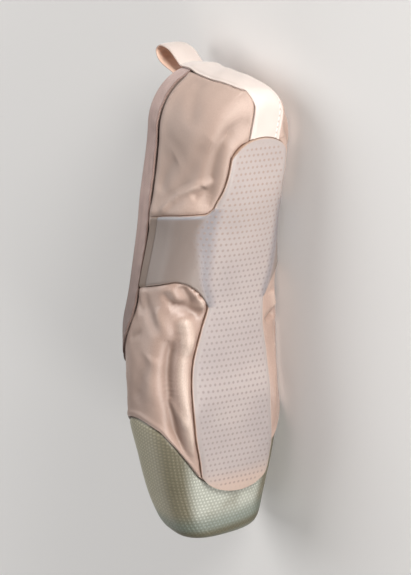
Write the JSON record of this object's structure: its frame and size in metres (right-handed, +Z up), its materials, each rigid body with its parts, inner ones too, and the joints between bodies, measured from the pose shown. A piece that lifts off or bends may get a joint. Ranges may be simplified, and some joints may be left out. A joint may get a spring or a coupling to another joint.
{
  "type": "ballet pointe shoe",
  "caption": "Left satin pointe shoe with a moulded outsole that wraps the waist, a let-in toe cap, a bound collar and a heel pull loop, lying on its inner side.",
  "frame": {"origin": "On the floor, under the middle of the shoe's bounding box as it lies on its inner side.", "axes": "+X from the toe to the heel, +Y from the sole to the top of the foot, +Z up, from the inner to the outer side of the shoe."},
  "size_m": [0.2388, 0.0806, 0.0756],
  "materials": {
    "sole": "translucent grey-pink, semi-matt, with a fine field of raised dots",
    "satin": "dusty pink satin with a soft sheen and drawn folds",
    "cap": "translucent grey-green, semi-matt, with a fine scale pattern",
    "tape": "matt woven tape, greyish pink",
    "ribbon": "pale pink satin ribbon",
    "lining": "matt peach cotton"
  },
  "bodies": {
    "root": {"outsole": "sole", "upper": "satin", "toe_cap": "cap", "collar_binding": "tape", "heel_strip": "ribbon", "pull_loop": "ribbon", "insole": "lining"}
  },
  "joints": []
}
